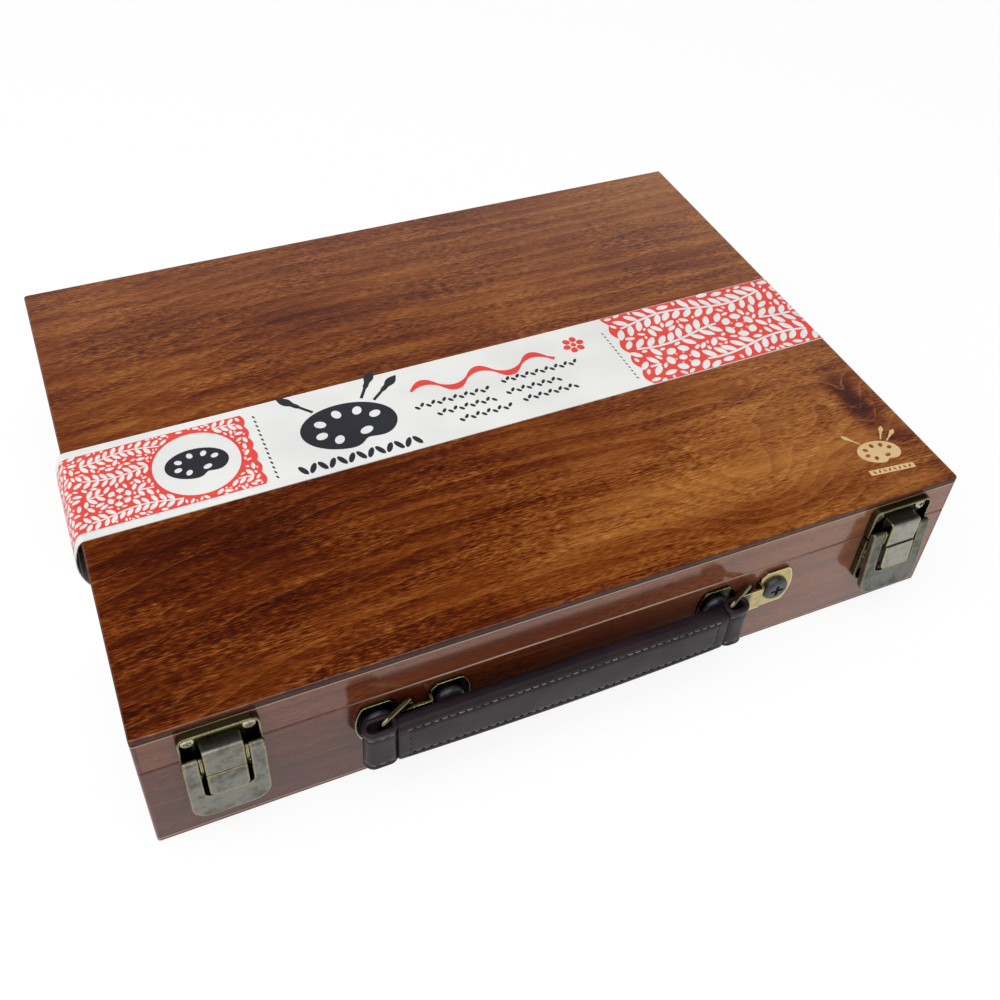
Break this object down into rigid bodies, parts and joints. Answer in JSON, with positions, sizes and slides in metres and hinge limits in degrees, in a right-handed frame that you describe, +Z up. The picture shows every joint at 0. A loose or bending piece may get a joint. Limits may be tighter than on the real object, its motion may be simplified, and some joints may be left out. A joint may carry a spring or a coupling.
{
  "type": "wooden oil paint box",
  "caption": "Flat hinged wooden paint box with two front lever latches, a leather carrying handle on wire rings, partitions, a palette in the lid and a card band.",
  "frame": {"origin": "on the floor, under the middle of the case", "axes": "+X along the box to the right as seen from the handle side, -Y towards the handle, +Z up"},
  "size_m": [0.405, 0.3202, 0.0784],
  "materials": {
    "case_wood": "dark stained veneer under semi-gloss lacquer, grain along the box",
    "plain_wood": "plain unlacquered light wood",
    "latch_brass": "aged antique brass, worn bright along the edges",
    "bracket_brass": "polished antique brass",
    "bronze_wire": "dark bronzed wire",
    "pin_steel": "dull steel pin",
    "pale_screw": "pale plated steel",
    "black_screw": "black satin lacquer",
    "grip_leather": "dark brown smooth leather, sewn along its edges",
    "printed_card": "thin white card printed in coral"
  },
  "bodies": {
    "base": {"base_bottom_panel": "case_wood", "base_front_board": "case_wood", "base_back_board": "case_wood", "base_left_board": "case_wood", "base_right_board": "case_wood", "long_divider": "plain_wood", "left_cross_divider": "plain_wood", "right_cross_divider": "plain_wood", "base_hinge_screws": "latch_brass", "base_plate_screws": "pale_screw", "bracket_screws": "black_screw", "sleeve_lower": "printed_card", "left_hinge_base_leaf": "latch_brass", "left_hinge_pin": "pin_steel", "left_base_plate": "latch_brass", "left_lever_pin": "pin_steel", "left_bracket": "bracket_brass", "right_hinge_base_leaf": "latch_brass", "right_hinge_pin": "pin_steel", "right_base_plate": "latch_brass", "right_lever_pin": "pin_steel", "right_bracket": "bracket_brass"},
    "lid": {"lid_top_panel": "case_wood", "lid_front_board": "case_wood", "lid_back_board": "case_wood", "lid_left_board": "case_wood", "lid_right_board": "case_wood", "palette": "plain_wood", "palette_cleats": "plain_wood", "turn_button_screws": "latch_brass", "lid_hinge_screws": "latch_brass", "keeper_screws": "pale_screw", "sleeve_upper": "printed_card", "left_hinge_lid_leaf": "latch_brass", "left_keeper_plate": "latch_brass", "left_keeper_hook": "latch_brass", "right_hinge_lid_leaf": "latch_brass", "right_keeper_plate": "latch_brass", "right_keeper_hook": "latch_brass"},
    "left_ring": {"left_ring": "bronze_wire"},
    "right_ring": {"right_ring": "bronze_wire"},
    "grip": {"grip_strap": "grip_leather", "grip_cover": "grip_leather"},
    "left_lever": {"left_lever_frame": "latch_brass", "left_lever_tongue": "latch_brass"},
    "left_button": {"left_turn_button": "latch_brass"},
    "right_lever": {"right_lever_frame": "latch_brass", "right_lever_tongue": "latch_brass"},
    "right_button": {"right_turn_button": "latch_brass"}
  },
  "joints": [
    {"name": "lid_hinge", "type": "hinge", "parent": "base", "child": "lid", "pos_m": [0, 0.1527, 0.0547], "axis": [-1, 0, 0], "range_deg": [0, 100]},
    {"name": "left_lever_pivot", "type": "hinge", "parent": "base", "child": "left_lever", "pos_m": [-0.1667, -0.1558, 0.0595], "axis": [-1, 0, 0], "range_deg": [0, 95]},
    {"name": "right_lever_pivot", "type": "hinge", "parent": "base", "child": "right_lever", "pos_m": [0.1667, -0.1558, 0.0595], "axis": [-1, 0, 0], "range_deg": [-5, 90]},
    {"name": "handle_swing", "type": "hinge", "parent": "base", "child": "left_ring", "pos_m": [-0.0861, -0.1525, 0.0353], "axis": [0, 0, 1], "range_deg": [0, 125.4]},
    {"name": "right_ring_swing", "type": "hinge", "parent": "base", "child": "right_ring", "pos_m": [0.0849, -0.1525, 0.0353], "axis": [0, 0, 1], "range_deg": [0, 125.4]},
    {"name": "grip_swing", "type": "hinge", "parent": "left_ring", "child": "grip", "pos_m": [-0.1016, -0.1605, 0.0353], "axis": [0, 0, 1], "range_deg": [-125.4, 0]},
    {"name": "left_button_turn", "type": "hinge", "parent": "lid", "child": "left_button", "pos_m": [-0.185, 0, 0.07], "axis": [0, 0, 1], "range_deg": [0, 90]},
    {"name": "right_button_turn", "type": "hinge", "parent": "lid", "child": "right_button", "pos_m": [0.185, 0, 0.07], "axis": [0, 0, 1], "range_deg": [0, 90]}
  ],
  "couplings": [
    {"joint": "right_ring_swing", "follows": "handle_swing", "ratio": 1},
    {"joint": "grip_swing", "follows": "handle_swing", "ratio": -1}
  ]
}
